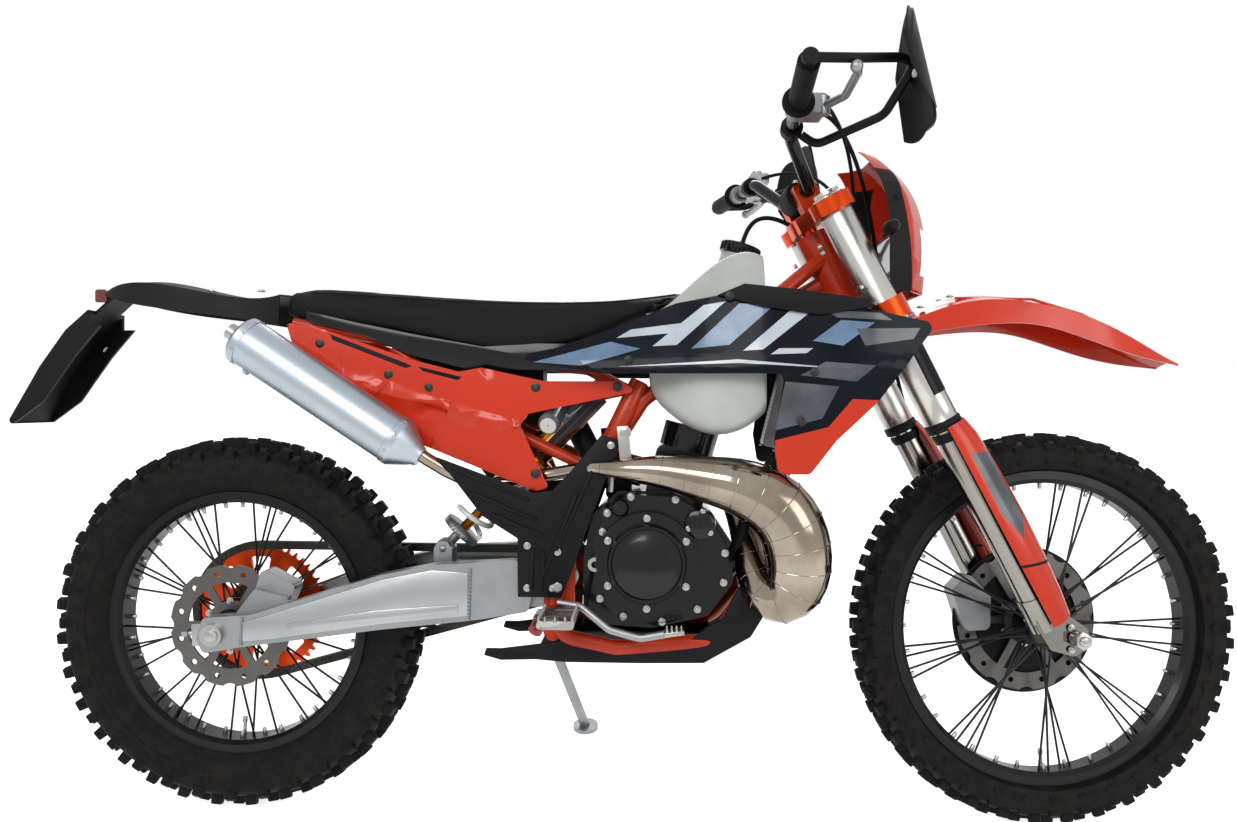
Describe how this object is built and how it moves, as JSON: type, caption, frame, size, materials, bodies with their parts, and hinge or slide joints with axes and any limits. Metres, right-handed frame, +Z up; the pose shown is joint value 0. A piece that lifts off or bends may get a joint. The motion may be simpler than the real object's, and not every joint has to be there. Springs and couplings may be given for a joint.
{
  "type": "enduro motorcycle",
  "caption": "Off-road enduro motorcycle with spoked knobbly wheels, long-travel fork, two-stroke engine with expansion chamber, hand guards and a side stand.",
  "frame": {"origin": "middle of the base of the overall box, on the ground", "axes": "+X forward, +Y to the bike's left, +Z up; the bike leans to its left on its side stand"},
  "size_m": [2.2136, 0.8136, 1.3612],
  "materials": {
    "frame_orange": "gloss",
    "orange_plastic": "gloss",
    "black_plastic": "satin",
    "dark_gloss_plastic": "gloss",
    "tank_plastic": "translucent satin",
    "seat_cover": "matt vinyl",
    "tyre": "matt",
    "grip_rubber": "matt",
    "black_metal": "satin",
    "engine_black": "satin",
    "silver_alloy": "satin",
    "fork_alloy": "satin anodised",
    "orange_alloy": "anodised",
    "steel": "brushed",
    "chain_steel": "oiled",
    "disc_steel": "ground",
    "nickel": "polished",
    "spring_white": "gloss",
    "lamp_glass": "clear",
    "tail_red": "gloss"
  },
  "bodies": {
    "chassis": {"frame_main": "frame_orange", "frame_guards": "black_plastic", "swingarm": "silver_alloy", "rear_axle": "steel", "crankcase": "engine_black", "engine_covers": "engine_black", "drive_chain": "chain_steel", "cylinder": "engine_black", "intake": "black_plastic", "exhaust_chamber": "nickel", "muffler": "silver_alloy", "radiators": "silver_alloy", "fuel_tank": "tank_plastic", "shrouds": "dark_gloss_plastic", "side_panels": "orange_plastic", "seat": "seat_cover", "rear_fender": "black_plastic", "plate_holder": "black_plastic", "tail_light": "tail_red", "shock_body": "silver_alloy", "shock_spring": "spring_white", "skid_plate": "black_plastic", "foot_controls": "silver_alloy", "footpegs": "steel", "rear_caliper": "silver_alloy"},
    "steering": {"triple_clamps": "orange_alloy", "fork_upper_tubes": "fork_alloy", "fork_lower_legs": "steel", "fork_guards": "orange_plastic", "front_caliper": "silver_alloy", "handlebar": "black_metal", "grips": "grip_rubber", "levers": "silver_alloy", "handguards": "black_plastic", "headlight_mask": "orange_plastic", "headlight": "lamp_glass", "front_fender": "orange_plastic"},
    "front_wheel": {"front_tyre": "tyre", "front_rim": "black_metal", "front_disc": "disc_steel"},
    "rear_wheel": {"rear_tyre": "tyre", "rear_rim": "black_metal", "rear_disc": "disc_steel", "sprocket": "orange_alloy"},
    "side_stand": {"side_stand": "silver_alloy"}
  },
  "joints": [
    {"name": "steering", "type": "hinge", "parent": "chassis", "child": "steering", "pos_m": [0.38116, -0.04868, 0.96008], "axis": [-0.4538, 0.179, 0.8729], "range_deg": [-46, 34]},
    {"name": "front_wheel_spin", "type": "hinge", "parent": "steering", "child": "front_wheel", "pos_m": [0.76108, -0.17078, 0.33794], "axis": [-0.0935, 0.9646, -0.2464], "continuous": true},
    {"name": "rear_wheel_spin", "type": "hinge", "parent": "chassis", "child": "rear_wheel", "pos_m": [-0.69869, -0.17759, 0.33418], "axis": [-0.0004, 0.9796, -0.2011], "continuous": true},
    {"name": "side_stand_fold", "type": "hinge", "parent": "chassis", "child": "side_stand", "pos_m": [-0.15376, -0.0713, 0.29393], "axis": [0.311, 0.8762, 0.3681], "range_deg": [0, 98]}
  ]
}
